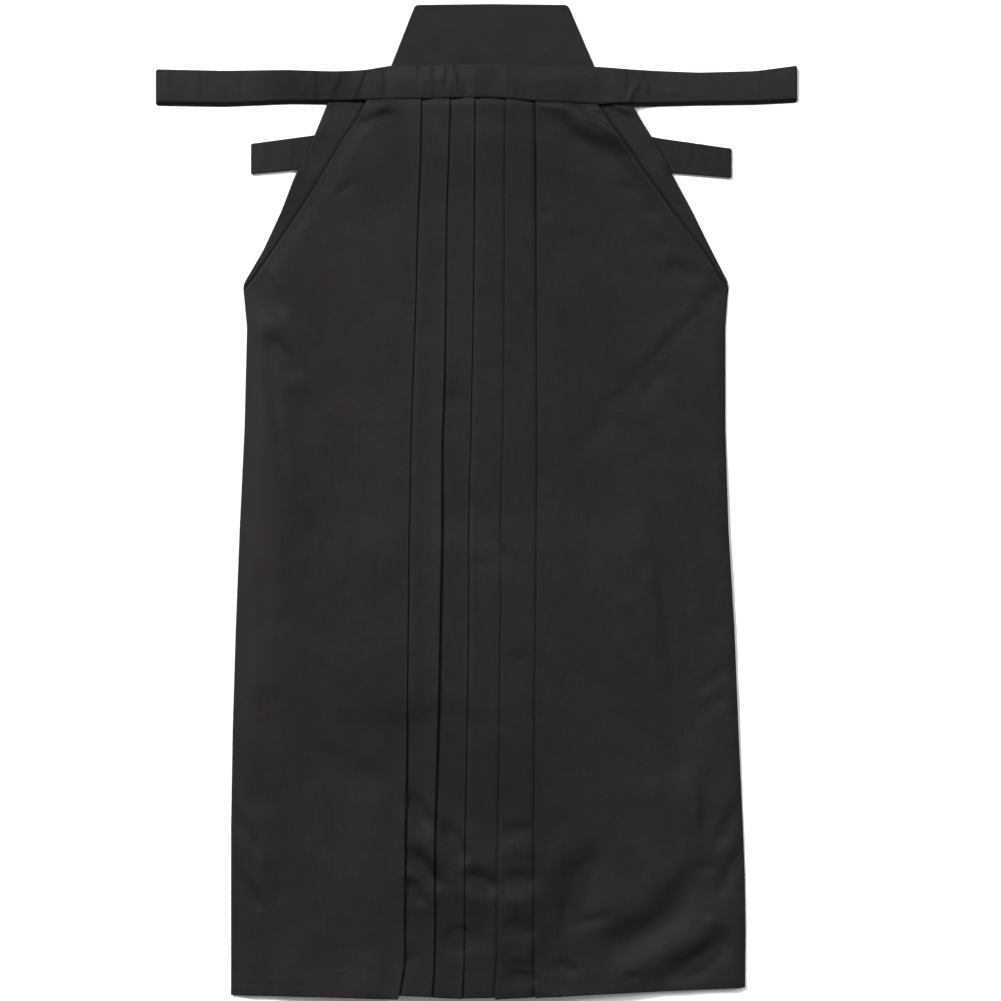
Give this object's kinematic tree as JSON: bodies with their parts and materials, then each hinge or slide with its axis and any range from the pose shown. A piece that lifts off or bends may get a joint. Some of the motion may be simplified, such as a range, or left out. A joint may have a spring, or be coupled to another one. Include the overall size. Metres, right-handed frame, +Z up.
{
  "type": "pleated hakama trousers laid out flat",
  "caption": "Pleated, divided Japanese trousers in plain dark cloth, laid out flat with the front up: long waist ties, open sides at the hips and a stiff back board above the waist.",
  "frame": {"origin": "on the surface the garment lies on, at the centre of its bounding box", "axes": "+Z up, out of the front of the garment; +Y from the hem towards the waist; +X to the right as the front is seen"},
  "size_m": [0.6816, 1.0548, 0.0188],
  "materials": {
    "cloth": "matt plain weave",
    "board_cloth": "matt plain weave over a stiff board"
  },
  "bodies": {
    "root": {"back_board": "board_cloth", "back_panel_left": "cloth", "back_panel_right": "cloth", "back_ties": "cloth", "front_panel_left": "cloth", "front_panel_right": "cloth", "gusset_left": "cloth", "gusset_right": "cloth", "waistband": "cloth"}
  },
  "joints": []
}
